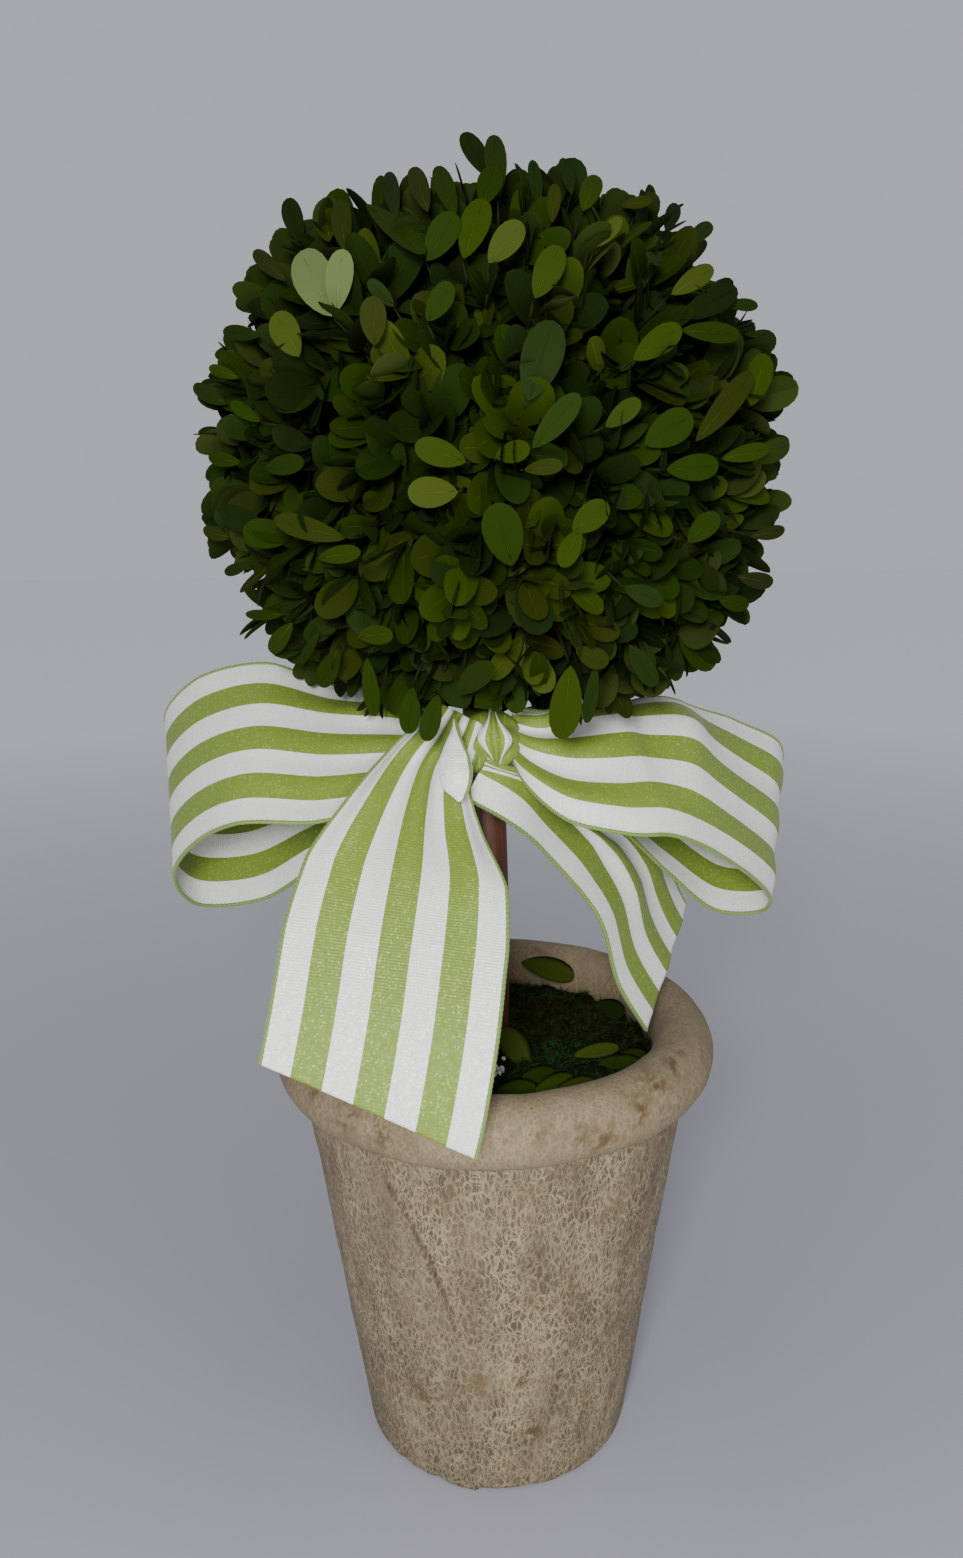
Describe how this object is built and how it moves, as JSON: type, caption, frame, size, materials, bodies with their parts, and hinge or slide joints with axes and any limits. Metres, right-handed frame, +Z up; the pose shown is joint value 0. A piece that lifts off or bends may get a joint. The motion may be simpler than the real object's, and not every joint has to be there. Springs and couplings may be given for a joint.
{
  "type": "box topiary ball in a stone pot with a ribbon bow",
  "caption": "Clipped box ball on a bare stem in a weathered stone pot with moss, tied with a wide striped ribbon bow.",
  "frame": {"origin": "centre of the flat underside of the pot", "axes": "+Z up along the stem; -Y is the front, where the ribbon's tails hang; +X to the right of the front view"},
  "size_m": [0.2194, 0.1828, 0.4259],
  "materials": {
    "weathered_stone": "matte",
    "dry_filling": "matte",
    "dark_moss": "matte",
    "stem_bark": "satin",
    "box_leaves": "satin",
    "striped_ribbon": "satin"
  },
  "bodies": {
    "root": {"pot": "weathered_stone", "filling": "dry_filling", "moss_bed": "dark_moss", "trunk": "stem_bark", "foliage_ball": "box_leaves", "bow_knot": "striped_ribbon", "bow_loop_left": "striped_ribbon", "bow_loop_right": "striped_ribbon", "bow_tail_left": "striped_ribbon", "bow_tail_right": "striped_ribbon"}
  },
  "joints": []
}
